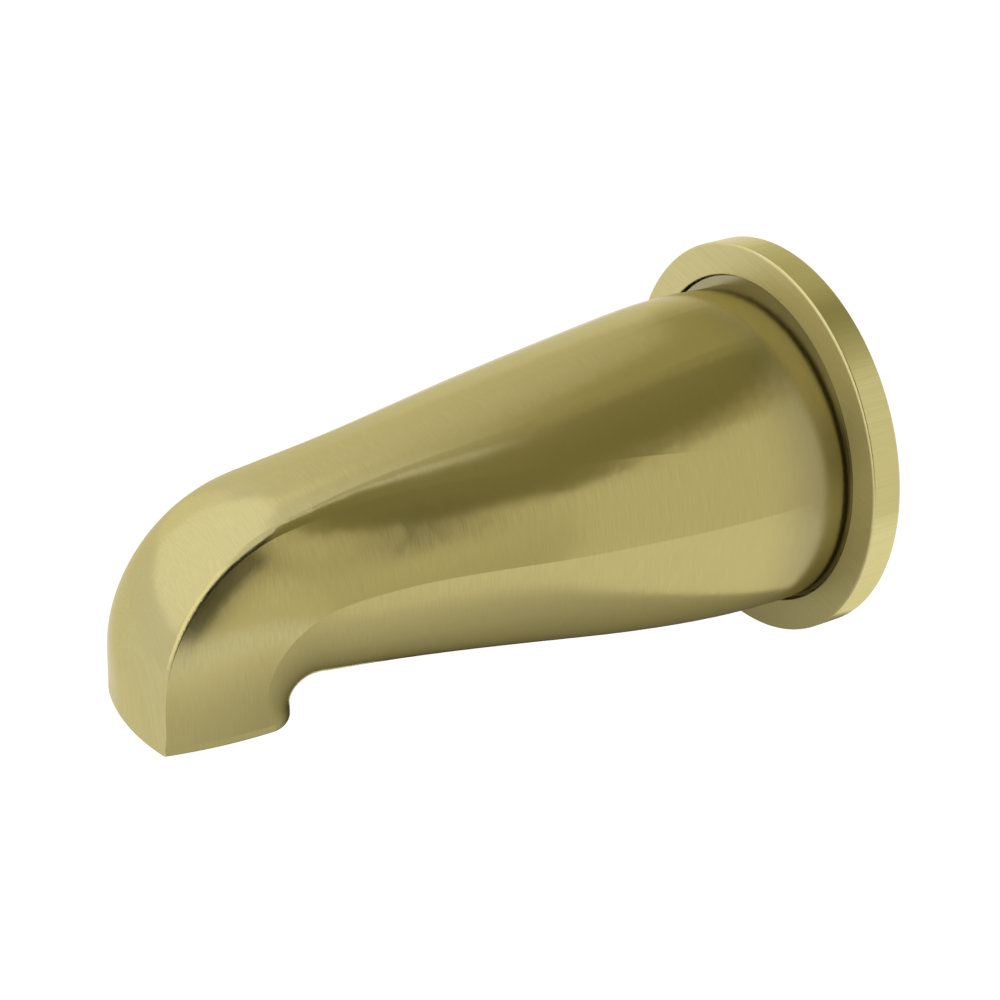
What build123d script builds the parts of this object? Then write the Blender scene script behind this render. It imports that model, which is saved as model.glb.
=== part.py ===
from build123d import *
import os
from math import acos, cos, hypot, pi, radians, sin, sqrt, tan

os.makedirs("parts", exist_ok=True)

# Millimetres, +Z up. The wall is the plane y = 0, the inlet runs along Y, the spout reaches towards -Y.

# Collar and root of the body
root_radius = 30.15             # round rear section of the body
root_drop = 0.65                # its centre below the inlet axis
collar_step = 1.0               # how far the collar stands out beyond the root
collar_width = 3.4              # length of the collar along the inlet
collar_wall = 5.15              # collar's outside to the recess behind the bulkhead

# Wall flange, a loose ring around the collar
collar_clearance = 0.3          # radial gap between the collar and the flange's bore
flange_width = 6.05             # bore to the outside of the ring
flange_thickness = 5.75         # wall to the front face
flange_edge_round = 0.5         # front outer edge
bore_edge_round = 0.2           # front edge of the bore
lip_thickness = 1.5             # rear lip that the collar is seated on
lip_width = 4.5                 # how far the lip reaches in from the bore

# Crest line, seen from the side
reach = 133.5                   # wall to the front of the nose
crest_flat = 18.0               # wall to where the level crest starts to fall
crest_round = 69.4              # radius of that turn
crest_slope = radians(7.8)      # fall of the straight crest
nose_radius = 30.25             # turn from the crest to the upright front

# Underside line, seen from the side
outlet_drop = 21.0              # inlet axis down to the outlet's rim
outlet_length = 27.35           # front of the nose to the outlet's rear wall
outlet_wall = 1.4               # upright part of the outlet's walls above the rim
throat_radius = 3.9             # inside of the bend between underside and outlet
under_slope_root = radians(2.9)
under_slope_neck = radians(4.1)

# Where the section sizes below apply, as shares of the way from the root to the outlet
middle_at = 0.40
neck_at = 0.72
bend_at = 0.87

# Half width at the upper crease
crease_half_middle = 16.55
crease_half_neck = 10.85
crease_half_bend = 11.55
crease_half_outlet = 11.65

# Drop from the crest to the upper crease
crown_drop_middle = 4.05
crown_drop_neck = 2.3
crown_drop_bend = 2.6
crown_drop_outlet = 1.5

# Run of the rounding on either side of the upper crease
crease_run_middle = 5.55
crease_run_neck = 1.5
crease_run_bend = 0.7
crease_run_outlet = 0.4

# Half width at the lower crease
belly_half_middle = 25.8
belly_half_neck = 18.7
belly_half_bend = 16.05
belly_half_outlet = 14.35

# Height of the lower crease above the underside
belly_height_middle = 24.95
belly_height_neck = 18.3
belly_height_bend = 12.45
belly_height_outlet = 6.75

# Inward lean of the side above and below the lower crease
lean_above_middle = radians(-0.4)
lean_above_neck = radians(10.9)
lean_above_bend = radians(5.4)
lean_above_outlet = radians(0.2)
lean_below_middle = radians(8.8)
lean_below_neck = radians(1.5)
lean_below_bend = radians(4.5)
lean_below_outlet = radians(8)

# Fullness of the underside: 0.55 is round, more is squarer
fullness_middle = 0.82
fullness_neck = 0.81
fullness_bend = 0.72
fullness_outlet = 0.6

# Where the side turns between the creases: 1 is a round turn, less is lower down
side_balance_middle = 0.89
side_balance_neck = 0.92
side_balance_bend = 1.0
side_balance_outlet = 1.0

# Where the creases start on the round root section
root_crease_angle = radians(47.7)       # from the crest round to the upper crease
root_crease_spread = radians(25.4)      # half the arc that becomes its rounding
root_belly_angle = radians(6.0)         # lower crease above the section's middle

# Inside and rim
wall = 3.0                      # wall of the casting
bulkhead_rear = 8.0             # wall to the rear face of the bulkhead
bulkhead_thickness = 5.0
boss_wall = 4.0                 # metal around the inlet thread
boss_length = 11.0              # boss in front of the bulkhead
thread_radius = 10.5            # 1/2 in female pipe thread, 14 threads to the inch, at its roots
thread_lead_in = 1.2            # chamfer at the mouth of the thread
rim_round = 0.25                # outer edge of the outlet's rim
bend_steps = 12                 # sections through the bend

# Sizes that follow
collar_radius = root_radius + collar_step
recess_radius = collar_radius - collar_wall
flange_bore = collar_radius + collar_clearance
flange_radius = flange_bore + flange_width
lip_radius = flange_bore - lip_width
seat_y = -lip_thickness
collar_y = seat_y - collar_width
root_y = seat_y - collar_width / 2
chamber_y = -bulkhead_rear - bulkhead_thickness
boss_y = chamber_y - boss_length
boss_radius = thread_radius + boss_wall
outlet_z = -outlet_drop
outlet_y = outlet_length - reach
bend_y = outlet_y + throat_radius
bend_z = outlet_z + outlet_wall
neck_under_z = bend_z + throat_radius
root_top = root_radius - root_drop
root_bottom = -root_radius - root_drop
slope_y = -crest_flat - crest_round * sin(crest_slope)
slope_z = root_top - crest_round * (1 - cos(crest_slope))
nose_y = nose_radius - reach


def slope_line(y):
    """Height of the straight crest."""
    return slope_z - tan(crest_slope) * (slope_y - y)


nose_z = slope_line(nose_y) - nose_radius / cos(crest_slope)


def crest_height(y):
    """Height of the crest over an upright section behind the bend."""
    if y > -crest_flat:
        return root_top
    if y > slope_y:
        return root_top - crest_round + sqrt(crest_round ** 2 - (y + crest_flat) ** 2)
    return slope_line(y)


def underside_height(y):
    """Height of the underside from the root to the bend, a curve with a set slope at either end."""
    span = root_y - bend_y
    t = (root_y - y) / span
    start = (2 * t ** 3 - 3 * t ** 2 + 1) * root_bottom + (t ** 3 - 2 * t ** 2 + t) * tan(under_slope_root) * span
    end = (3 * t ** 2 - 2 * t ** 3) * neck_under_z + (t ** 3 - t ** 2) * tan(under_slope_neck) * span
    return start + end


def crest_distance(turn):
    """Distance from the middle of the bend to the crest, turn measured from upright towards the front."""
    dy, dz = -sin(turn), cos(turn)
    oy, oz = bend_y - nose_y, bend_z - nose_z
    along = oy * dy + oz * dz
    root = along ** 2 - (oy ** 2 + oz ** 2 - nose_radius ** 2)
    if root > 0:
        far = sqrt(root) - along
        py, pz = oy + far * dy, oz + far * dz
        if pz >= 0 and -py >= pz * tan(crest_slope):
            return far
        if pz < 0:
            return (reach + bend_y) / sin(turn)
    drop = slope_line(bend_y) - bend_z
    return drop / (dz - tan(crest_slope) * dy)


def stations():
    """Section planes as (y, z, dy, dz, height): a point on the underside, the way up to the crest, and how far.

    They lie closer together where the arm turns into the bend, so that the two run into each other smoothly.
    """
    planes = []
    along_arm = (0.18, 0.28, 0.38, 0.48, 0.58, 0.68, 0.78, 0.87, 0.93, 0.97, 1)
    lengths = [root_y + share * (bend_y - root_y) for share in along_arm]
    for y in [root_y, chamber_y] + lengths:
        low = underside_height(y)
        planes.append((y, low, 0, 1, crest_height(y) - low))
    for step in (0.25, 0.6, *range(1, bend_steps + 1)):
        turn = step * pi / 2 / bend_steps
        dy, dz = -sin(turn), cos(turn)
        y, z = bend_y + throat_radius * dy, bend_z + throat_radius * dz
        planes.append((y, z, dy, dz, crest_distance(turn) - throat_radius))
    return planes


def shares(planes):
    """How far along the middle line each section lies, from 0 to 1."""
    lengths = [0.0]
    for a, b in zip(planes, planes[1:]):
        ay, az = a[0] + a[2] * a[4] / 2, a[1] + a[3] * a[4] / 2
        by, bz = b[0] + b[2] * b[4] / 2, b[1] + b[3] * b[4] / 2
        lengths.append(lengths[-1] + hypot(by - ay, bz - az))
    return [length / lengths[-1] for length in lengths]


def smooth(values, at):
    """A smooth curve without overshoot through the values at the root, middle, neck, bend and outlet."""
    knots = (0, middle_at, neck_at, bend_at, 1)
    gaps = [b - a for a, b in zip(knots, knots[1:])]
    rises = [(b - a) / g for a, b, g in zip(values, values[1:], gaps)]
    slopes = []
    for i in range(1, 4):
        if rises[i - 1] * rises[i] <= 0:
            slopes.append(0)
        else:
            w1, w2 = 2 * gaps[i] + gaps[i - 1], gaps[i] + 2 * gaps[i - 1]
            slopes.append((w1 + w2) / (w1 / rises[i - 1] + w2 / rises[i]))
    first = end_slope(gaps[0], gaps[1], rises[0], rises[1])
    last = end_slope(gaps[3], gaps[2], rises[3], rises[2])
    slopes = [first] + slopes + [last]
    i = max(k for k in range(4) if knots[k] <= at)
    t = (at - knots[i]) / gaps[i]
    start = (1 + 2 * t) * (1 - t) ** 2 * values[i] + t * (1 - t) ** 2 * gaps[i] * slopes[i]
    end = t ** 2 * (3 - 2 * t) * values[i + 1] + t ** 2 * (t - 1) * gaps[i] * slopes[i + 1]
    return start + end


def end_slope(gap, next_gap, rise, next_rise):
    """Slope at the end of a smooth curve, kept from overshooting."""
    slope = ((2 * gap + next_gap) * rise - gap * next_rise) / (gap + next_gap)
    if slope * rise <= 0:
        return 0
    if rise * next_rise <= 0 and abs(slope) > 3 * abs(rise):
        return 3 * rise
    return slope


def arc_share(turn):
    """How far the handles of a round curve reach towards the meeting point of its tangents."""
    return 4 / 3 * tan(turn / 4) / tan(turn / 2) if turn > 1e-6 else 2 / 3


def curve(start, corner, end, share=None):
    """Four control points of a curve whose end tangents meet at the corner."""
    ax, ay = corner[0] - start[0], corner[1] - start[1]
    bx, by = end[0] - corner[0], end[1] - corner[1]
    if share is None:
        share = arc_share(acos(max(-1, min(1, (ax * bx + ay * by) / (hypot(ax, ay) * hypot(bx, by))))))
    first = (start[0] + share * ax, start[1] + share * ay)
    second = (end[0] - share * bx, end[1] - share * by)
    return [start, first, second, end]


def towards(a, b, run):
    """A point at the given run from a towards b."""
    length = hypot(b[0] - a[0], b[1] - a[1])
    return (a[0] + run * (b[0] - a[0]) / length, a[1] + run * (b[1] - a[1]) / length)


def section_sizes(at):
    """The sizes of a section at a share of the way along."""
    angle, spread, belly = root_crease_angle, root_crease_spread, root_belly_angle
    corner = root_radius / cos(spread)
    half = (corner * sin(angle), crease_half_middle, crease_half_neck, crease_half_bend, crease_half_outlet)
    drop = (root_radius - corner * cos(angle), crown_drop_middle, crown_drop_neck, crown_drop_bend, crown_drop_outlet)
    run = (root_radius * tan(spread), crease_run_middle, crease_run_neck, crease_run_bend, crease_run_outlet)
    low_half = (root_radius * cos(belly), belly_half_middle, belly_half_neck, belly_half_bend, belly_half_outlet)
    low_root = root_radius * (1 + sin(belly))
    low = (low_root, belly_height_middle, belly_height_neck, belly_height_bend, belly_height_outlet)
    above = (belly, lean_above_middle, lean_above_neck, lean_above_bend, lean_above_outlet)
    below = (-belly, lean_below_middle, lean_below_neck, lean_below_bend, lean_below_outlet)
    full = (arc_share(pi / 2 + belly), fullness_middle, fullness_neck, fullness_bend, fullness_outlet)
    balance = (1, side_balance_middle, side_balance_neck, side_balance_bend, side_balance_outlet)
    return [smooth(values, at) for values in (half, drop, run, low_half, low, above, below, full, balance)]


def half_section(height, half, drop, run, low_half, low, above, below, full, balance):
    """Crown, crease rounding, side and underside of a section, as curves in (across, up)."""
    crest, crease, belly = (0, height), (half, height - drop), (low_half, low)
    crown_corner = ((half ** 2 + drop ** 2 - run ** 2) / (2 * (half + run)), height)
    crown_end = towards(crease, crown_corner, run)
    ex, ey = -sin(above), cos(above)
    dx, dy = crease[0] - belly[0], crease[1] - belly[1]
    reach_up = balance * (dx ** 2 + dy ** 2 - run ** 2) / (2 * (run + dx * ex + dy * ey))
    side_corner = (belly[0] + reach_up * ex, belly[1] + reach_up * ey)
    side_start = towards(crease, side_corner, run)
    under_corner = (low_half - low * tan(below), 0)
    return [
        curve(crest, crown_corner, crown_end),
        curve(crown_end, crease, side_start),
        curve(side_start, side_corner, belly),
        curve(belly, under_corner, (0, 0), full),
    ]


def section_wire(plane, curves):
    """A closed section in space from its right half."""
    y, z, dy, dz, height = plane

    def place(points, side):
        return [Vector(side * u, y + v * dy, z + v * dz) for u, v in points]

    right = [Edge.make_bezier(*place(points, 1)) for points in curves]
    left = [Edge.make_bezier(*place(points[::-1], -1)) for points in curves[::-1]]
    return Wire(right + left)


def outer_curves(plane, at):
    """A section of the body's outside."""
    return section_wire(plane, half_section(plane[4], *section_sizes(at)))


def inner_curves(plane, at):
    """A section of the water chamber, inside the outside by the wall."""
    y, z, dy, dz, height = plane
    half, drop, run, low_half, low, above, below, full, balance = section_sizes(at)
    sizes = (half - 0.9 * wall, drop, run, low_half - wall, low - wall, above, below, full, balance)
    moved = (y + wall * dy, z + wall * dz, dy, dz, height - 2 * wall)
    return section_wire(moved, half_section(moved[4], *sizes))


def shaped(section, first, overrun):
    """A solid through the sections from the first one on: the straight arm, the bend, and the upright end."""
    planes = stations()
    wires = [section(plane, at) for plane, at in zip(planes, shares(planes))]
    upright = sum(plane[2] == 0 for plane in planes)
    arm = Solid.make_loft(wires[first:upright])
    bend = Solid.make_loft(wires[upright - 1:])
    end = extrude(Face(wires[-1]), outlet_wall + overrun, dir=(0, 0, -1))
    return Part(arm.wrapped) + Part(bend.wrapped) + end


def across(y):
    """A drawing plane square to the inlet, facing the front."""
    return Plane((0, y, 0), x_dir=(1, 0, 0), z_dir=(0, -1, 0))


def bar(radius, rear, front):
    """A round bar along the inlet between two planes."""
    return extrude(across(rear) * Circle(radius), rear - front)


def make_body():
    """The casting: collar and shaped outside, less the recess, chamber and inlet."""
    body = shaped(outer_curves, 0, 0)
    rim = body.faces().sort_by(Axis.Z)[0].outer_wire().edges()
    body = fillet(rim, rim_round)
    body += bar(collar_radius, seat_y, collar_y)
    body -= bar(recess_radius, seat_y, -bulkhead_rear)
    body -= shaped(inner_curves, 1, wall)
    body += bar(boss_radius, chamber_y + bulkhead_thickness / 2, boss_y)
    body -= bar(thread_radius, -bulkhead_rear, boss_y)
    mouth_radius = thread_radius + thread_lead_in
    return body - Solid.make_cone(mouth_radius, thread_radius, thread_lead_in, across(-bulkhead_rear))


def make_flange():
    """The loose ring: flat front, round edges, and a lip behind the collar."""
    ring = bar(flange_radius, 0, -flange_thickness) - bar(flange_bore, seat_y, -flange_thickness)
    ring -= bar(lip_radius, 0, seat_y)
    front = ring.edges().filter_by(GeomType.CIRCLE).group_by(Axis.Y)[0].sort_by(SortBy.RADIUS)
    ring = fillet(front[-1], flange_edge_round)
    front = ring.edges().filter_by(GeomType.CIRCLE).group_by(Axis.Y)[0].sort_by(SortBy.RADIUS)
    return fillet(front[0], bore_edge_round)


spout_body = make_body()
wall_flange = make_flange()
for name, shape in (("spout_body", spout_body), ("wall_flange", wall_flange)):
    print(name, shape.is_valid, len(shape.solids()), round(shape.volume, 1), shape.bounding_box())
    export_step(shape, "parts/" + name + ".step")
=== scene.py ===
from math import cos, pi, radians, sin

import bmesh
import bpy
from mathutils import Matrix, Vector


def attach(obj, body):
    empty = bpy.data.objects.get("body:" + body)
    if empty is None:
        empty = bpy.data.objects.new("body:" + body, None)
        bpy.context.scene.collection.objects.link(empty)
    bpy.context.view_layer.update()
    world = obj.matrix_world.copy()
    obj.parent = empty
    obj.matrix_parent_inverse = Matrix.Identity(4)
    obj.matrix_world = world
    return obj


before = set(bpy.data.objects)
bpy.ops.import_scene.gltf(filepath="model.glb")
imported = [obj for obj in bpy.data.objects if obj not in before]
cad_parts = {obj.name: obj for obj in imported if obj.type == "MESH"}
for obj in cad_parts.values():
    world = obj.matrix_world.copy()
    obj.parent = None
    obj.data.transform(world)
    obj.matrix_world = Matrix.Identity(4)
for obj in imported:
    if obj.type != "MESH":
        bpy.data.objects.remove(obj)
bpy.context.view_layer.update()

bl_info = {
    "name": "Satin brass bath spout",
    "version": (1, 0, 0),
    "blender": (4, 5, 0),
    "location": "3D View > Sidebar > Spout",
    "description": "Dresses a bath spout in brushed brass and sets it on a white studio sweep",
    "category": "Object",
}


class SpoutFinish(bpy.types.PropertyGroup):
    """Colours and polish of the brushed brass."""

    brass: bpy.props.FloatVectorProperty(
        name="Brass",
        description="Colour of the brushed brass in plain light",
        subtype="COLOR",
        size=3,
        min=0,
        max=1,
        default=(0.52, 0.46, 0.22),
    )
    brass_deep: bpy.props.FloatVectorProperty(
        name="Deep brass",
        description="Colour at the bottom of the brush lines",
        subtype="COLOR",
        size=3,
        min=0,
        max=1,
        default=(0.487, 0.43, 0.202),
    )
    flange_brass: bpy.props.FloatVectorProperty(
        name="Flange brass",
        description="Colour of the flange's brighter brushed brass",
        subtype="COLOR",
        size=3,
        min=0,
        max=1,
        default=(0.68, 0.63, 0.35),
    )
    flange_deep: bpy.props.FloatVectorProperty(
        name="Deep flange brass",
        description="Colour at the bottom of the flange's brush lines",
        subtype="COLOR",
        size=3,
        min=0,
        max=1,
        default=(0.63, 0.58, 0.31),
    )
    edge_tint: bpy.props.FloatVectorProperty(
        name="Edge tint",
        description="Tint of the brass where it is seen at a flat angle",
        subtype="COLOR",
        size=3,
        min=0,
        max=1,
        default=(0.85, 0.80, 0.60),
    )
    body_roughness: bpy.props.FloatProperty(
        name="Body roughness",
        description="How far the brushed body spreads reflections",
        subtype="FACTOR",
        min=0,
        max=1,
        default=0.18,
    )
    flange_roughness: bpy.props.FloatProperty(
        name="Flange roughness",
        description="How far the brushed flange spreads reflections",
        subtype="FACTOR",
        min=0,
        max=1,
        default=0.2,
    )
    face_roughness: bpy.props.FloatProperty(
        name="Face roughness",
        description="How far the flange's front face spreads reflections",
        subtype="FACTOR",
        min=0,
        max=1,
        default=0.45,
    )
    face_tone: bpy.props.FloatVectorProperty(
        name="Face tone",
        description="Tone of the flange's front face beside its rim's",
        subtype="COLOR",
        size=3,
        default=(1.0, 0.96, 0.84),
    )
    face_metal: bpy.props.FloatProperty(
        name="Face metal",
        description="Share of the light that the flange's front face mirrors; its scratches scatter the rest",
        subtype="FACTOR",
        min=0,
        max=1,
        default=0.75,
    )
    root_roughness: bpy.props.FloatProperty(
        name="Root roughness",
        description="How far the body spreads reflections beside the flange",
        subtype="FACTOR",
        min=0,
        max=1,
        default=0.24,
    )
    # Painted shade: darker, greyer brass on the body beside the flange, standing in for the shade and dark
    # reflections there.
    root_painted_shade: bpy.props.FloatVectorProperty(
        name="Root painted shade",
        description="Painted shade on the body beside the flange, darker and greyer towards it",
        subtype="COLOR",
        size=3,
        default=(0.68, 0.7, 0.86),
    )
    brushing: bpy.props.FloatProperty(
        name="Brushing",
        description="How much more reflections spread across the brush lines than along them",
        subtype="FACTOR",
        min=0,
        max=1,
        default=0.3,
    )


class SpoutThread(bpy.types.PropertyGroup):
    """Pipe thread in the inlet."""

    root: bpy.props.FloatProperty(
        name="Root radius",
        description="Radius at the bottom of the thread, the bore's own wall",
        unit="LENGTH",
        default=0.0105,
    )
    depth: bpy.props.FloatProperty(
        name="Depth",
        description="How far the crests stand in from the bore's wall",
        unit="LENGTH",
        default=0.0012,
    )
    pitch: bpy.props.FloatProperty(
        name="Pitch",
        description="Distance from one crest to the next",
        unit="LENGTH",
        default=0.001814,
    )
    mouth: bpy.props.FloatProperty(
        name="Mouth",
        description="Distance from the wall to the first crest",
        unit="LENGTH",
        default=0.0092,
    )
    length: bpy.props.FloatProperty(
        name="Length",
        description="Length of the threaded part",
        unit="LENGTH",
        default=0.0145,
    )
    crest: bpy.props.FloatProperty(
        name="Crest",
        description="Width of the flat crests",
        unit="LENGTH",
        default=0.0002,
    )
    brass: bpy.props.FloatVectorProperty(
        name="Cut brass",
        description="Colour of the cut brass of the thread",
        subtype="COLOR",
        size=3,
        min=0,
        max=1,
        default=(0.56, 0.47, 0.22),
    )
    roughness: bpy.props.FloatProperty(
        name="Roughness",
        description="How far the cut brass spreads reflections",
        subtype="FACTOR",
        min=0,
        max=1,
        default=0.28,
    )


class SpoutStage(bpy.types.PropertyGroup):
    """Camera, light and sweep."""

    eye: bpy.props.FloatVectorProperty(
        name="Camera place",
        description="Where the camera stands",
        subtype="TRANSLATION",
        unit="LENGTH",
        size=3,
        default=(0.31818, -0.25343, 0.20053),
    )
    azimuth: bpy.props.FloatProperty(
        name="Camera azimuth",
        description="How far round from the front towards the right the camera looks from",
        subtype="ANGLE",
        default=radians(58.733),
    )
    elevation: bpy.props.FloatProperty(
        name="Camera elevation",
        description="How far the camera looks down",
        subtype="ANGLE",
        default=radians(28.082),
    )
    focal: bpy.props.FloatProperty(
        name="Focal length",
        description="Focal length on a 36 mm wide sensor, in millimetres",
        default=85.42,
    )
    white: bpy.props.FloatProperty(
        name="Sweep white",
        description="Brightness of the white sweep where it is seen or reflected",
        min=0,
        default=1.0,
    )
    fill: bpy.props.FloatProperty(
        name="Fill light",
        description="Soft light from all round",
        min=0,
        default=0.6,
    )
    floor_height: bpy.props.FloatProperty(
        name="Floor height",
        description="Height of the floor, well under the spout",
        unit="LENGTH",
        default=-2.2,
    )
    floor_size: bpy.props.FloatProperty(
        name="Floor size",
        description="Width of the square floor",
        unit="LENGTH",
        default=30.0,
    )
    card_distance: bpy.props.FloatProperty(
        name="Card distance",
        description="Distance from the spout to the curved cards that shape its reflections",
        unit="LENGTH",
        default=2.0,
    )
    dark_low: bpy.props.FloatVectorProperty(
        name="Dark card, low",
        description="Colour of the dark card over the arm at its lower edge",
        subtype="COLOR",
        size=3,
        default=(0.27, 0.25, 0.12),
    )
    dark_high: bpy.props.FloatVectorProperty(
        name="Dark card, high",
        description="Colour of the dark card over the arm at its upper edge",
        subtype="COLOR",
        size=3,
        default=(0.35, 0.32, 0.17),
    )
    flag: bpy.props.FloatVectorProperty(
        name="Flag",
        description="Colour of the nearly black flag to the right",
        subtype="COLOR",
        size=3,
        default=(0.02, 0.018, 0.008),
    )
    near_low: bpy.props.FloatVectorProperty(
        name="Near card, low",
        description="Colour of the pale card beside the flag at its lower edge",
        subtype="COLOR",
        size=3,
        default=(0.84, 0.795, 0.58),
    )
    near_high: bpy.props.FloatVectorProperty(
        name="Near card, high",
        description="Colour of the pale card beside the flag at its upper edge",
        subtype="COLOR",
        size=3,
        default=(1.0, 0.96, 0.75),
    )
    side_low: bpy.props.FloatVectorProperty(
        name="Side card, low",
        description="Colour of the pale card to the right at its lower edge",
        subtype="COLOR",
        size=3,
        default=(0.66, 0.61, 0.42),
    )
    side_high: bpy.props.FloatVectorProperty(
        name="Side card, high",
        description="Colour of the pale card to the right at its upper edge",
        subtype="COLOR",
        size=3,
        default=(0.82, 0.78, 0.60),
    )
    soft: bpy.props.FloatVectorProperty(
        name="Soft card",
        description="Colour at the foot of the card that softens the dark one's lower edge",
        subtype="COLOR",
        size=3,
        default=(0.68, 0.64, 0.45),
    )
    shade_right: bpy.props.FloatVectorProperty(
        name="Shade card, right",
        description="Colour of the card that shades off the dark one behind, on the right",
        subtype="COLOR",
        size=3,
        default=(0.36, 0.335, 0.18),
    )
    shade_left: bpy.props.FloatVectorProperty(
        name="Shade card, left",
        description="Colour of the card that shades off the dark one behind, on the left",
        subtype="COLOR",
        size=3,
        default=(0.54, 0.505, 0.3),
    )
    neck: bpy.props.FloatVectorProperty(
        name="Neck card",
        description="Colour of the card behind on the left that shades the top of the neck",
        subtype="COLOR",
        size=3,
        default=(0.5, 0.465, 0.27),
    )
    neck_pale: bpy.props.FloatVectorProperty(
        name="Neck card, pale",
        description="Colour at the foot of the card under the neck's one",
        subtype="COLOR",
        size=3,
        default=(1.05, 1.03, 0.95),
    )
    crown_shade: bpy.props.FloatVectorProperty(
        name="Crown card, shade",
        description="Colour of the card on the left that shades the crown, at its near end",
        subtype="COLOR",
        size=3,
        default=(0.58, 0.545, 0.36),
    )
    crown_pale: bpy.props.FloatVectorProperty(
        name="Crown card, pale",
        description="Colour of the card on the left that shades the crown, at its far end",
        subtype="COLOR",
        size=3,
        default=(0.985, 0.97, 0.88),
    )
    rear_right: bpy.props.FloatVectorProperty(
        name="Rear card, right",
        description="Colour of the pale card low behind, on the right",
        subtype="COLOR",
        size=3,
        default=(0.88, 0.84, 0.67),
    )
    rear_left: bpy.props.FloatVectorProperty(
        name="Rear card, left",
        description="Colour of the pale card low behind, on the left",
        subtype="COLOR",
        size=3,
        default=(0.70, 0.66, 0.46),
    )
    nose: bpy.props.FloatVectorProperty(
        name="Nose card",
        description="Colour of the bright card on the left that lights the top of the nose",
        subtype="COLOR",
        size=3,
        default=(1.15, 1.13, 1.05),
    )
    low_card: bpy.props.FloatVectorProperty(
        name="Low card",
        description="Colour of the pale card below level on the right",
        subtype="COLOR",
        size=3,
        default=(1.03, 1.0, 0.86),
    )
    strip: bpy.props.FloatVectorProperty(
        name="Strip",
        description="Colour of the bright strip in front that lights the upper crease",
        subtype="COLOR",
        size=3,
        default=(1.5, 1.47, 1.35),
    )
    # Painted shadow: the dark left of the level card stands for the spout's own shadow on the surface under
    # it, seen only in reflections.
    under_shadow: bpy.props.FloatVectorProperty(
        name="Under card, shadow",
        description="Colour of the painted shadow on the level card under the arm, on the left",
        subtype="COLOR",
        size=3,
        default=(0.06, 0.05, 0.02),
    )
    under_pale: bpy.props.FloatVectorProperty(
        name="Under card, pale",
        description="Colour of the level card under the arm on the right",
        subtype="COLOR",
        size=3,
        default=(1.02, 1.0, 0.86),
    )
    under_height: bpy.props.FloatProperty(
        name="Under card height",
        description="Height of the level card under the arm",
        unit="LENGTH",
        default=-0.06,
    )
    softbox_power: bpy.props.FloatProperty(
        name="Softbox power",
        description="Power of the softbox in front on the left, in watts",
        min=0,
        default=1.3,
    )
    softbox_size: bpy.props.FloatProperty(
        name="Softbox size",
        description="Width of the square softbox",
        unit="LENGTH",
        default=1.2,
    )
    softbox_distance: bpy.props.FloatProperty(
        name="Softbox distance",
        description="Distance from the spout to the softbox",
        unit="LENGTH",
        default=0.9,
    )
    softbox_azimuth: bpy.props.FloatProperty(
        name="Softbox azimuth",
        description="How far round from the front towards the right the softbox stands",
        subtype="ANGLE",
        default=radians(-40),
    )
    softbox_elevation: bpy.props.FloatProperty(
        name="Softbox elevation",
        description="How high the softbox stands",
        subtype="ANGLE",
        default=radians(47),
    )


# Edges of the curved cards, in degrees: round from the front towards the right, and up from level
FLAG_FOOT = ((53, -13.5), (78, -13.5), (79.2, -7), (81.2, -1), (84, 5.5), (87, 11), (90, 16))
BAND_FOOT = (
    (90, 16), (91.5, 23), (92.5, 29), (93.5, 33), (95, 36), (96.5, 36.5), (98.5, 35), (101, 33), (105, 31.5),
)
SOFT_FOOT = ((112, 31), (117, 35), (125, 36.5), (135, 38), (150, 40.5), (165, 43.5), (186, 46))
SOFT_HEAD = ((112, 31.5), (117, 43), (125, 48), (135, 51), (150, 52), (165, 52), (186, 51))
NECK_FOOT = ((212, 44), (220, 38), (228, 33), (239.5, 33))
CROWN_EDGE = ((228, 70), (230.5, 62), (231.2, 55), (232, 52), (235, 46), (237, 40), (239.5, 33.5))
# Each card's name, first and last colour, the way its shade runs, and its lower and upper edges
CURVED_CARDS = (
    (
        "dark_card", "dark_low", "dark_high", "UP",
        (*BAND_FOOT[1:], (108, 30.5), *SOFT_HEAD), ((91.5, 62), (96, 78), (186, 78)),
    ),
    ("soft_card", "soft", "dark_high", "UP", SOFT_FOOT, SOFT_HEAD),
    (
        "shade_card", "shade_right", "shade_left", "ROUND",
        ((186, 47), (212, 44)), ((186, 78), (200, 80), (212, 80)),
    ),
    ("neck_card", "neck", "neck", "UP", NECK_FOOT, ((212, 80), (220, 77), *CROWN_EDGE)),
    ("neck_low_card", "neck_pale", "neck", "UP", ((228, 5), (241, 5)), ((228, 33), (241, 33))),
    (
        "flag", "flag", "flag", "UP",
        (*FLAG_FOOT, BAND_FOOT[1]), ((53, 14), (60, 34), (75, 45), (91.5, 62)),
    ),
    ("near_card", "near_low", "near_high", "UP", ((78, -15), (87, -15), (90, -24)), FLAG_FOOT[1:]),
    ("side_card", "side_low", "side_high", "UP", ((90, -24), (92, -30), (105, -30)), BAND_FOOT),
    (
        "rear_card", "rear_right", "rear_left", "ROUND",
        ((105, -30), (228, -30)), ((105, 31.5), (108, 30.5), *SOFT_FOOT, *NECK_FOOT[:3]),
    ),
    (
        "crown_card", "crown_shade", "crown_pale", "ROUND",
        (*CROWN_EDGE, (241, 27), (244, 20), (256, 18)), ((228, 71), (235, 67), (256, 64)),
    ),
    (
        "nose_card", "nose", "nose", "UP",
        ((266, -2), (279, 2), (290, 10)), ((266, 34), (277, 36), (290, 10.5)),
    ),
    (
        "low_card", "low_card", "low_card", "UP",
        ((90, -62), (252, -62)), ((90, -24), (92, -30), (252, -30)),
    ),
    ("strip", "strip", "strip", "UP", ((14, -5), (47, -5)), ((14, 52), (47, 52))),
)
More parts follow.
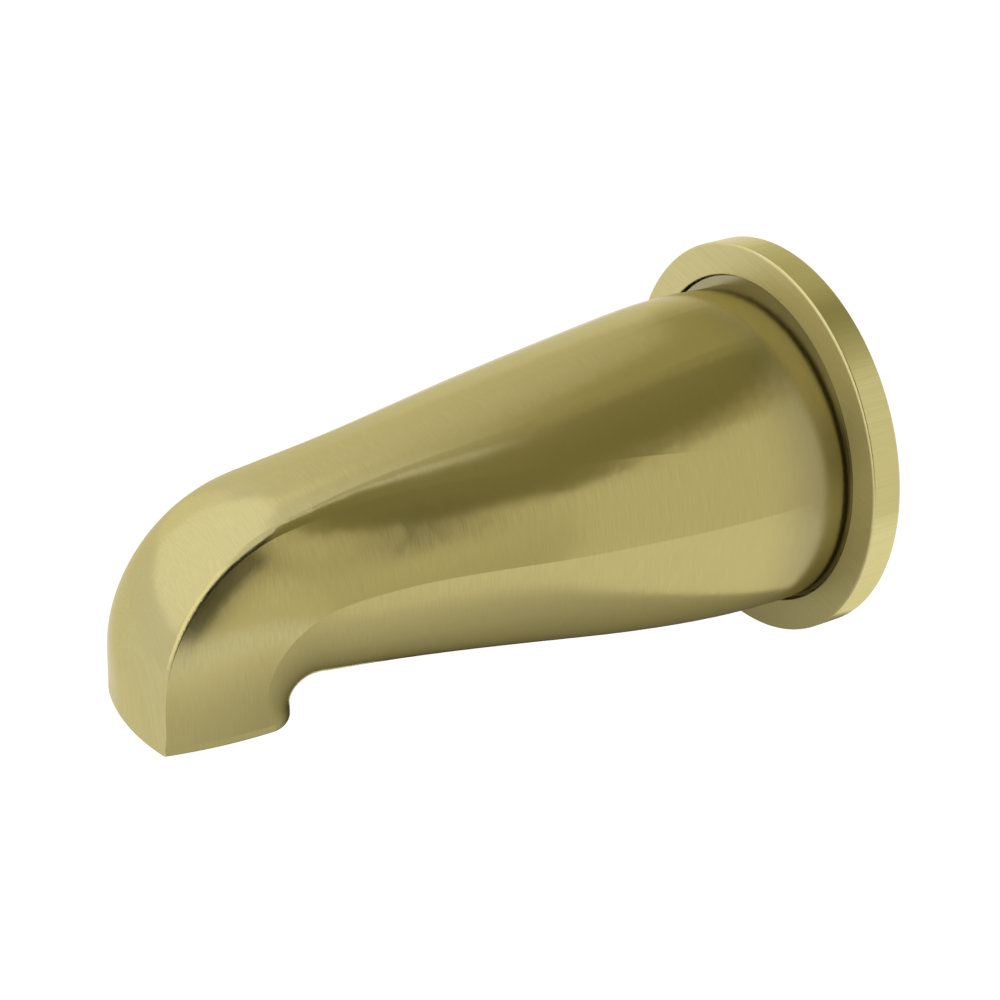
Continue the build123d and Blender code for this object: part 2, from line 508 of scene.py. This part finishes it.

# Level card under the arm, in metres: its front and rear edges, and how pale it is from left to right; its
# dark left is a painted shadow of the spout, seen only in reflections
UNDER_FRONT = ((-0.09, -0.07), (-0.02, -0.07), (0.02, -0.14), (0.06, -0.17), (0.14, -0.17))
UNDER_REAR = (
    (-0.09, 0.045), (-0.01, 0.045), (0.01, 0.021),
    (0.045, -0.017), (0.066, -0.043), (0.1, -0.085), (0.14, -0.13),
)
UNDER_SHADE = ((-0.09, 0), (-0.02, 0.04), (0.01, 0.27), (0.06, 0.6), (0.1, 0.83), (0.14, 1))

CARD_CENTRE_Y = -0.06           # the curved cards stand round the middle of the arm
CARD_COLUMNS = 48               # steps across a curved card
CARD_ROWS = 12                  # steps up a curved card
UNDER_COLUMNS = 46              # steps across the level card

SENSOR_WIDTH = 36               # of the camera, in millimetres
FLOOR_PAPER = (0.9, 0.9, 0.9, 1)
FLOOR_GLOW = 0.5                # keeps the floor as white as the sweep where it is seen

STREAKS_ALONG_ARM = 5500.0      # brush lines in a metre of the arm, as the noise's scale
STREAKS_ROUND_ARM = 5.0         # the same for a radian round it
FACE_STREAK = (1 / 60, 1 / 60, 1 / 5500)    # length, depth and width of the flange's brush lines, in metres
FACE_STREAK_SLANT = radians(12)
STREAK_RANGE = (0.3, 0.7)       # part of the noise that the colours are spread over
STREAK_ROUGHNESS = 0.02         # how far the roughness varies with the lines
STREAK_BUMP = 0.08
STREAK_DEPTH = 0.00004
FRONT_RANGE = (-0.15, -0.9)     # normals between which a surface comes to face the front
# Over this stretch the body's painted shade and rougher finish fade in towards the flange.
ROOT_RANGE = (-0.024, -0.008)   # places along the arm between which it comes to be beside the flange

THREAD_SEGMENTS = 64            # steps in a turn of the thread
THREAD_RUN_OUT = 32             # steps over which the thread's ends die out
THREAD_SINK = 0.00005           # how far the thread's foot is sunk in the bore's wall
THREAD_FOOT = 0.49              # half width of the ridge's foot, as a share of the pitch
THREAD_END = 0.02               # height left at the thread's ends, as a share of its depth


def along(edge, turn):
    """Height of a card's edge at a turn, straight between its points."""
    for (a, low), (b, high) in zip(edge, edge[1:]):
        if turn <= b:
            return low + (high - low) * max(0, turn - a) / (b - a)
    return edge[-1][1]


def between(a, b, share):
    """A colour part of the way between two."""
    return tuple(x + (y - x) * share for x, y in zip(a, b))


def grid_faces(across, up):
    """Faces of a sheet whose points run up each column in turn."""
    faces = []
    for i in range(across):
        for j in range(up):
            a = i * (up + 1) + j
            faces.append((a, a + up + 1, a + up + 2, a + 1))
    return faces


def link(obj):
    """Puts an object in the scene."""
    bpy.context.scene.collection.objects.link(obj)
    return obj


def dress(obj, *materials):
    """Gives an object its materials in place of any it came with."""
    obj.data.materials.clear()
    for material in materials:
        obj.data.materials.append(material)


def looking_back(azimuth, elevation):
    """Turn of a thing that stands at an azimuth and an elevation and looks back at the spout."""
    return Matrix.Rotation(azimuth, 4, "Z") @ Matrix.Rotation(pi / 2 - elevation, 4, "X")


class Nodes:
    """A material's node tree with short calls for adding and joining nodes."""

    def __init__(self, tree):
        self.tree = tree
        tree.nodes.clear()

    def add(self, kind, **settings):
        node = self.tree.nodes.new(kind)
        for key, value in settings.items():
            setattr(node, key, value)
        return node

    def join(self, output, socket):
        self.tree.links.new(output, socket)

    def math(self, operation, a, b=None):
        node = self.add("ShaderNodeMath", operation=operation)
        for socket, value in zip(node.inputs, (a, b)):
            if value is None:
                continue
            if isinstance(value, (int, float)):
                socket.default_value = value
            else:
                self.join(value, socket)
        return node.outputs[0]

    def split(self, output):
        """The X, Y and Z of one of the surface's coordinates."""
        where = self.add("ShaderNodeTexCoord")
        split = self.add("ShaderNodeSeparateXYZ")
        self.join(where.outputs[output], split.inputs[0])
        return split.outputs

    def ranged(self, value, limits, **settings):
        """A value spread over 0 to 1 between two limits."""
        share = self.add("ShaderNodeMapRange", **settings)
        share.inputs["From Min"].default_value, share.inputs["From Max"].default_value = limits
        self.join(value, share.inputs["Value"])
        return share.outputs[0]

    def seen(self):
        """1 where the camera looks, straight, through glass or by a reflection, and 0 for other light."""
        path = self.add("ShaderNodeLightPath")
        seen = self.math("MAXIMUM", path.outputs["Is Camera Ray"], path.outputs["Is Transmission Ray"])
        return self.math("MAXIMUM", seen, path.outputs["Is Glossy Ray"])


def brushed_material(name, finish, brass, deep, roughness, streak_place, zone):
    """Brushed brass whose streaks follow the coordinates that streak_place builds.

    The zone is a function for its share of the surface, and the tone, the roughness and the metal there.
    """
    material = bpy.data.materials.new(name)
    material.use_nodes = True
    nodes = Nodes(material.node_tree)
    surface = nodes.add("ShaderNodeBsdfPrincipled")
    surface.inputs["Anisotropic"].default_value = finish.brushing
    surface.inputs["Specular Tint"].default_value = (*finish.edge_tint, 1)
    place, tangent = streak_place(nodes)
    nodes.join(tangent, surface.inputs["Tangent"])
    streaks = nodes.add("ShaderNodeTexNoise", noise_dimensions="3D")
    streaks.inputs["Scale"].default_value = 1.0
    streaks.inputs["Detail"].default_value = 2.0
    nodes.join(place, streaks.inputs["Vector"])
    colour = nodes.add("ShaderNodeMix", data_type="RGBA")
    colour.inputs["A"].default_value = (*deep, 1)
    colour.inputs["B"].default_value = (*brass, 1)
    spread = nodes.ranged(streaks.outputs["Fac"], STREAK_RANGE)
    nodes.join(spread, colour.inputs["Factor"])
    rough = nodes.add("ShaderNodeMapRange")
    rough.inputs["To Min"].default_value = roughness + STREAK_ROUGHNESS
    rough.inputs["To Max"].default_value = roughness - STREAK_ROUGHNESS
    nodes.join(spread, rough.inputs["Value"])
    zone_share, zone_tone, zone_roughness, zone_metal = zone
    share = zone_share(nodes)
    # Multiplies in the zone's tone: on the body this is painted shade beside the flange; on the flange it is
    # its front face's tint.
    toned = nodes.add("ShaderNodeMix", data_type="RGBA", blend_type="MULTIPLY")
    nodes.join(share, toned.inputs["Factor"])
    nodes.join(colour.outputs["Result"], toned.inputs["A"])
    toned.inputs["B"].default_value = (*zone_tone, 1)
    nodes.join(toned.outputs["Result"], surface.inputs["Base Color"])
    scattered = nodes.math("MULTIPLY", share, 1.0 - zone_metal)
    nodes.join(nodes.math("SUBTRACT", 1.0, scattered), surface.inputs["Metallic"])
    rougher = nodes.math("MULTIPLY", share, zone_roughness - roughness)
    nodes.join(nodes.math("ADD", rough.outputs[0], rougher), surface.inputs["Roughness"])
    bump = nodes.add("ShaderNodeBump")
    bump.inputs["Strength"].default_value = STREAK_BUMP
    bump.inputs["Distance"].default_value = STREAK_DEPTH
    nodes.join(streaks.outputs["Fac"], bump.inputs["Height"])
    nodes.join(bump.outputs["Normal"], surface.inputs["Normal"])
    output = nodes.add("ShaderNodeOutputMaterial")
    nodes.join(surface.outputs[0], output.inputs["Surface"])
    return material


def facing_front(nodes):
    """How nearly a surface faces straight to the front, from 0 to 1."""
    return nodes.ranged(nodes.split("Normal")["Y"], FRONT_RANGE)


def beside_flange(nodes):
    """How near a surface is to the flange, from 0 to 1: where the body's painted shade and rougher finish go.
    """
    return nodes.ranged(nodes.split("Object")["Y"], ROOT_RANGE, interpolation_type="SMOOTHSTEP")


def around_arm(nodes):
    """Streaks that run round the inlet's axis, fine along it."""
    place = nodes.split("Object")
    angle = nodes.math("ARCTAN2", place["X"], place["Z"])
    join = nodes.add("ShaderNodeCombineXYZ")
    nodes.join(nodes.math("MULTIPLY", place["Y"], STREAKS_ALONG_ARM), join.inputs["X"])
    nodes.join(nodes.math("MULTIPLY", angle, STREAKS_ROUND_ARM), join.inputs["Y"])
    tangent = nodes.add("ShaderNodeTangent", direction_type="RADIAL", axis="Y")
    return join.outputs[0], tangent.outputs[0]


def across_face(nodes):
    """Straight streaks that slant over the flange's face."""
    where = nodes.add("ShaderNodeTexCoord")
    turn = nodes.add("ShaderNodeMapping", vector_type="TEXTURE")
    turn.inputs["Rotation"].default_value = (0, FACE_STREAK_SLANT, 0)
    turn.inputs["Scale"].default_value = FACE_STREAK
    nodes.join(where.outputs["Object"], turn.inputs["Vector"])
    tangent = nodes.add("ShaderNodeTangent", direction_type="RADIAL", axis="Y")
    return turn.outputs[0], tangent.outputs[0]


class SPOUT_OT_body(bpy.types.Operator):
    """Dress the cast body in brass brushed round the arm."""

    bl_idname = "spout.body"
    bl_label = "Body"

    def execute(self, context):
        finish = context.scene.spout_finish
        # The body's zone beside the flange: painted shade (darker, greyer brass) and a rougher finish.
        root = (beside_flange, finish.root_painted_shade, finish.root_roughness, 1.0)
        brass = brushed_material(
            "satin_brass", finish, finish.brass, finish.brass_deep, finish.body_roughness,
            around_arm, root,
        )
        dress(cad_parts["spout_body"], brass)
        return {"FINISHED"}


class SPOUT_OT_flange(bpy.types.Operator):
    """Dress the wall flange in brass brushed straight across."""

    bl_idname = "spout.flange"
    bl_label = "Flange"

    def execute(self, context):
        finish = context.scene.spout_finish
        face = (facing_front, finish.face_tone, finish.face_roughness, finish.face_metal)
        brass = brushed_material(
            "flange_brass", finish, finish.flange_brass, finish.flange_deep, finish.flange_roughness,
            across_face, face,
        )
        dress(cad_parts["wall_flange"], brass)
        return {"FINISHED"}


class SPOUT_OT_thread(bpy.types.Operator):
    """Cut the right-hand pipe thread into the inlet."""

    bl_idname = "spout.thread"
    bl_label = "Inlet thread"

    def execute(self, context):
        thread = context.scene.spout_thread
        mesh = bpy.data.meshes.new("inlet_thread")
        self.ridge(mesh, thread)
        piece = link(bpy.data.objects.new("inlet_thread", mesh))
        brass = bpy.data.materials.new("cut_brass")
        brass.use_nodes = True
        surface = brass.node_tree.nodes["Principled BSDF"]
        surface.inputs["Base Color"].default_value = (*thread.brass, 1)
        surface.inputs["Metallic"].default_value = 1.0
        surface.inputs["Roughness"].default_value = thread.roughness
        dress(piece, brass)
        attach(piece, "root")
        return {"FINISHED"}

    def ridge(self, mesh, thread):
        """One ridge wound round the inlet's axis, flat-topped and run out at both ends."""
        base = thread.root + THREAD_SINK
        turns = (thread.length - thread.pitch) / thread.pitch
        steps = round(turns * THREAD_SEGMENTS)
        inner = -thread.mouth - thread.length + thread.pitch / 2
        bm = bmesh.new()
        rings = []
        for step in range(steps + 1):
            turn = 2 * pi * step / THREAD_SEGMENTS
            middle = inner + thread.pitch * step / THREAD_SEGMENTS
            full = min(1, step / THREAD_RUN_OUT, (steps - step) / THREAD_RUN_OUT)
            tip = base - (thread.depth + THREAD_SINK) * max(full, THREAD_END)
            foot = thread.pitch * THREAD_FOOT
            profile = ((base, -foot), (tip, -thread.crest / 2), (tip, thread.crest / 2), (base, foot))
            rings.append([bm.verts.new((r * sin(turn), middle + y, r * cos(turn))) for r, y in profile])
        for a, b in zip(rings, rings[1:]):
            for k in range(4):
                n = (k + 1) % 4
                bm.faces.new((a[k], a[n], b[n], b[k]))
        bm.faces.new(rings[0])
        bm.faces.new(reversed(rings[-1]))
        bmesh.ops.recalc_face_normals(bm, faces=bm.faces)
        bm.to_mesh(mesh)
        bm.free()


class SPOUT_OT_stage(bpy.types.Operator):
    """Set up the white sweep, the lamps and the camera."""

    bl_idname = "spout.stage"
    bl_label = "Stage"

    def execute(self, context):
        stage = context.scene.spout_stage
        self.camera(context, stage)
        self.world(context, stage)
        self.floor(stage)
        self.softbox(stage)
        self.level_card(stage)
        for card in CURVED_CARDS:
            self.curved_card(stage, *card)
        context.scene.view_settings.view_transform = "Standard"
        return {"FINISHED"}

    def camera(self, context, stage):
        """The camera that sees the spout from its right, from above."""
        lens = bpy.data.cameras.new("camera")
        lens.lens = stage.focal
        lens.sensor_width = SENSOR_WIDTH
        camera = link(bpy.data.objects.new("camera", lens))
        turn = looking_back(stage.azimuth, stage.elevation)
        camera.matrix_world = Matrix.Translation(stage.eye) @ turn
        context.scene.camera = camera

    def world(self, context, stage):
        """A white surround, softer as light than as it looks."""
        world = bpy.data.worlds.new("studio")
        world.use_nodes = True
        nodes = Nodes(world.node_tree)
        mix = nodes.add("ShaderNodeMixShader")
        nodes.join(nodes.seen(), mix.inputs["Fac"])
        for socket, strength in ((1, stage.fill), (2, stage.white)):
            white = nodes.add("ShaderNodeBackground")
            white.inputs["Strength"].default_value = strength
            white.inputs["Color"].default_value = (1, 1, 1, 1)
            nodes.join(white.outputs[0], mix.inputs[socket])
        output = nodes.add("ShaderNodeOutputWorld")
        nodes.join(mix.outputs[0], output.inputs["Surface"])
        context.scene.world = world

    def floor(self, stage):
        """A pale paper floor, well under the spout."""
        half = stage.floor_size / 2
        mesh = bpy.data.meshes.new("floor")
        corners = ((-half, -half), (half, -half), (half, half), (-half, half))
        mesh.from_pydata([(x, y, stage.floor_height) for x, y in corners], [], [(0, 1, 2, 3)])
        floor = link(bpy.data.objects.new("floor", mesh))
        material = bpy.data.materials.new("floor_paper")
        material.use_nodes = True
        nodes = Nodes(material.node_tree)
        paper = nodes.add("ShaderNodeBsdfDiffuse")
        paper.inputs["Color"].default_value = FLOOR_PAPER
        glow = nodes.add("ShaderNodeEmission")
        glow.inputs["Color"].default_value = (1, 1, 1, 1)
        nodes.join(nodes.math("MULTIPLY", nodes.seen(), FLOOR_GLOW), glow.inputs["Strength"])
        both = nodes.add("ShaderNodeAddShader")
        nodes.join(paper.outputs[0], both.inputs[0])
        nodes.join(glow.outputs[0], both.inputs[1])
        output = nodes.add("ShaderNodeOutputMaterial")
        nodes.join(both.outputs[0], output.inputs["Surface"])
        dress(floor, material)

    def curved_card(self, stage, name, first, last, way, foot, head):
        """A card bent round the spout between two edges, shaded upwards or round it."""
        across, up = CARD_COLUMNS, CARD_ROWS
        start, end = foot[0][0], foot[-1][0]
        colours = getattr(stage, first), getattr(stage, last)
        points, glow = [], []
        for i in range(across + 1):
            turn = start + (end - start) * i / across
            lower, upper = along(foot, turn), along(head, turn)
            for j in range(up + 1):
                rise = radians(lower + (upper - lower) * j / up)
                flat = stage.card_distance * cos(rise)
                x, y = flat * sin(radians(turn)), -flat * cos(radians(turn))
                points.append((x, y + CARD_CENTRE_Y, stage.card_distance * sin(rise)))
                glow.append(between(*colours, j / up if way == "UP" else i / across))
        self.card(name, points, grid_faces(across, up), glow)

    def level_card(self, stage):
        """A card under the arm, dark with a painted shadow of the spout on the left and pale on the right."""
        across = UNDER_COLUMNS
        start, end = UNDER_SHADE[0][0], UNDER_SHADE[-1][0]
        points, glow = [], []
        for i in range(across + 1):
            x = start + (end - start) * i / across
            colour = between(stage.under_shadow, stage.under_pale, along(UNDER_SHADE, x))
            for y in (along(UNDER_FRONT, x), along(UNDER_REAR, x)):
                points.append((x, y, stage.under_height))
                glow.append(colour)
        self.card("under_card", points, grid_faces(across, 1), glow)

    def card(self, name, points, faces, glow):
        """A card that only reflections see."""
        mesh = bpy.data.meshes.new(name)
        mesh.from_pydata(points, [], faces)
        shade = mesh.attributes.new("glow", "FLOAT_COLOR", "POINT")
        for value, colour in zip(shade.data, glow):
            value.color = (*colour, 1)
        card = link(bpy.data.objects.new(name, mesh))
        material = bpy.data.materials.new(name)
        material.use_nodes = True
        nodes = Nodes(material.node_tree)
        read = nodes.add("ShaderNodeAttribute", attribute_name="glow")
        emit = nodes.add("ShaderNodeEmission")
        nodes.join(read.outputs["Color"], emit.inputs["Color"])
        output = nodes.add("ShaderNodeOutputMaterial")
        nodes.join(emit.outputs[0], output.inputs["Surface"])
        dress(card, material)
        card.visible_camera = False
        card.visible_diffuse = False
        card.visible_transmission = False
        card.visible_shadow = False

    def softbox(self, stage):
        """A large lamp in front on the left."""
        lamp = bpy.data.lights.new("softbox", "AREA")
        lamp.energy = stage.softbox_power
        lamp.size = stage.softbox_size
        softbox = link(bpy.data.objects.new("softbox", lamp))
        turn = looking_back(stage.softbox_azimuth, stage.softbox_elevation)
        away = turn @ Vector((0, 0, stage.softbox_distance))
        softbox.matrix_world = Matrix.Translation(away + Vector((0, CARD_CENTRE_Y, 0))) @ turn


class SPOUT_PT_panel(bpy.types.Panel):
    """Lists the spout's steps and settings."""

    bl_label = "Bath spout"
    bl_idname = "SPOUT_PT_panel"
    bl_space_type = "VIEW_3D"
    bl_region_type = "UI"
    bl_category = "Spout"

    def draw(self, context):
        for operator in (SPOUT_OT_body, SPOUT_OT_flange, SPOUT_OT_thread, SPOUT_OT_stage):
            self.layout.operator(operator.bl_idname)
        for group_name in GROUPS:
            group = getattr(context.scene, group_name)
            box = self.layout.box()
            for name in group.bl_rna.properties.keys():
                if name not in ("rna_type", "name"):
                    box.prop(group, name)


GROUPS = {"spout_finish": SpoutFinish, "spout_thread": SpoutThread, "spout_stage": SpoutStage}
CLASSES = (*GROUPS.values(), SPOUT_OT_body, SPOUT_OT_flange, SPOUT_OT_thread, SPOUT_OT_stage, SPOUT_PT_panel)


def register():
    for cls in CLASSES:
        bpy.utils.register_class(cls)
    for name, group in GROUPS.items():
        setattr(bpy.types.Scene, name, bpy.props.PointerProperty(type=group))


def unregister():
    for name in GROUPS:
        delattr(bpy.types.Scene, name)
    for cls in reversed(CLASSES):
        bpy.utils.unregister_class(cls)


def main():
    register()
    bpy.ops.spout.body()
    bpy.ops.spout.flange()
    bpy.ops.spout.thread()
    bpy.ops.spout.stage()


if __name__ == "__main__":
    main()
